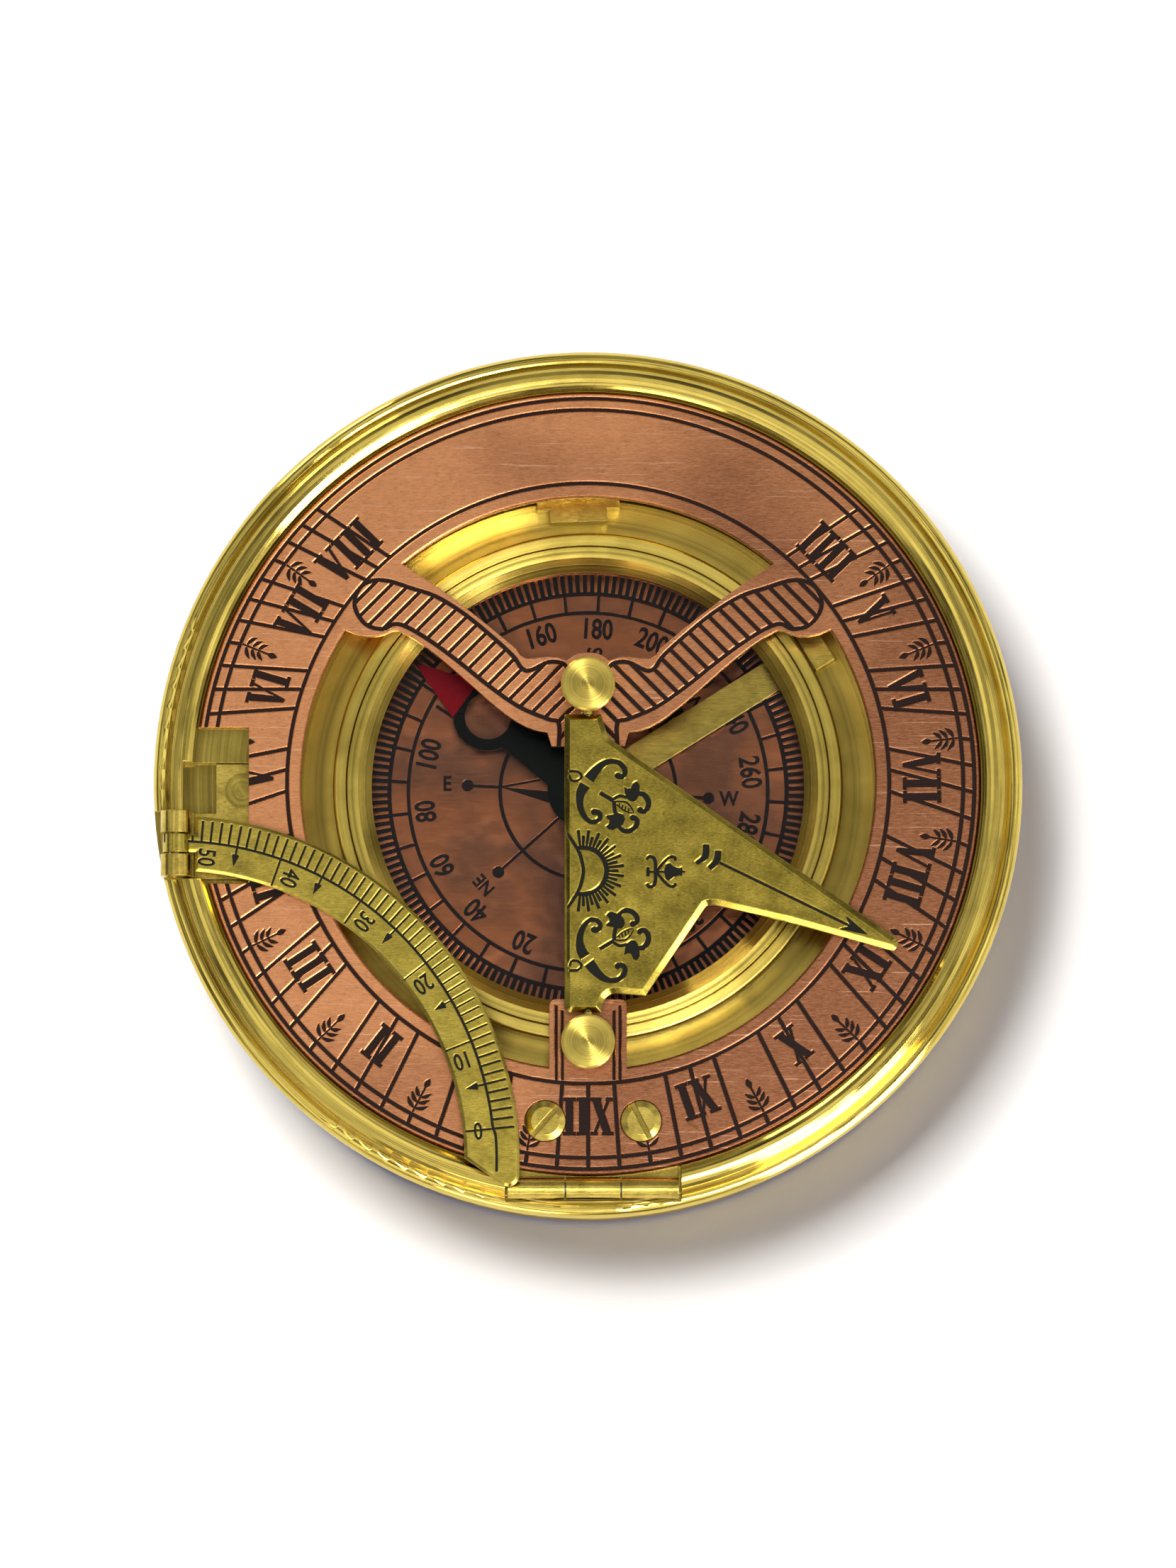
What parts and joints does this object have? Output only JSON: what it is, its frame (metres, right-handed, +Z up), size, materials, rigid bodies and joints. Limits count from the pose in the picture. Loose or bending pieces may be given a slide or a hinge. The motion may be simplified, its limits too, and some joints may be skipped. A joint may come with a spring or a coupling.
{
  "type": "sundial compass",
  "caption": "Round brass pocket sundial: hinged hour dial with a folding gnomon and latitude arc over a lockable needle compass.",
  "frame": {"origin": "middle of the underside, on the surface that it stands on", "axes": "+Z up, -Y towards noon (XII) and the dial's hinge, +Y towards the bare arc of the dial, -X towards the latitude arc's pivot"},
  "size_m": [0.1, 0.1, 0.0305],
  "materials": {
    "case_brass": "polished",
    "fitting_brass": "polished",
    "arc_brass": "satin",
    "gnomon_brass": "satin",
    "dial_copper": "satin",
    "card_copper": "brushed",
    "needle_steel": "satin",
    "pin_steel": "satin",
    "glass": "clear"
  },
  "bodies": {
    "case": {"base_plate": "case_brass", "case_body": "case_brass", "rest_block": "fitting_brass", "compass_bowl": "case_brass", "compass_card": "card_copper", "needle_pivot": "pin_steel", "glass": "glass", "glass_ring": "fitting_brass", "bezel_ring": "case_brass", "lever_pin": "pin_steel", "hinge_leaf_case": "fitting_brass", "hinge_pin": "pin_steel", "arc_bracket": "fitting_brass", "arc_bracket_screw": "fitting_brass", "arc_pin": "fitting_brass"},
    "compass_needle": {"needle": "needle_steel", "needle_cap": "fitting_brass"},
    "needle_lock": {"lock_lever": "fitting_brass", "lever_tab": "fitting_brass"},
    "dial": {"dial_plate": "dial_copper", "hinge_leaf_dial": "fitting_brass", "hinge_screws": "fitting_brass", "gnomon_post_far": "fitting_brass", "gnomon_post_noon": "fitting_brass"},
    "shadow_gnomon": {"gnomon": "gnomon_brass", "gnomon_pivots": "fitting_brass"},
    "arc": {"latitude_arc": "arc_brass"}
  },
  "joints": [
    {"name": "dial_tilt", "type": "hinge", "parent": "case", "child": "dial", "pos_m": [0.0006, -0.0466, 0.0245], "axis": [1, 0, 0], "range_deg": [0, 22.5]},
    {"name": "arc_fold", "type": "hinge", "parent": "case", "child": "arc", "pos_m": [-0.0473, -0.00715, 0.02705], "axis": [0, -1, 0], "range_deg": [0, 90]},
    {"name": "gnomon_fold", "type": "hinge", "parent": "dial", "child": "shadow_gnomon", "pos_m": [0, 0, 0.02795], "axis": [0, -1, 0], "range_deg": [0, 90]},
    {"name": "needle_spin", "type": "hinge", "parent": "case", "child": "compass_needle", "pos_m": [0, 0, 0.0147], "axis": [0, 0, 1], "continuous": true},
    {"name": "lock_press", "type": "hinge", "parent": "case", "child": "needle_lock", "pos_m": [0.02315, 0.01447, 0.0128], "axis": [-0.5299, 0.848, 0], "range_deg": [0, 2]}
  ],
  "couplings": [
    {"joint": "arc_fold", "follows": "dial_tilt", "ratio": 4}
  ]
}
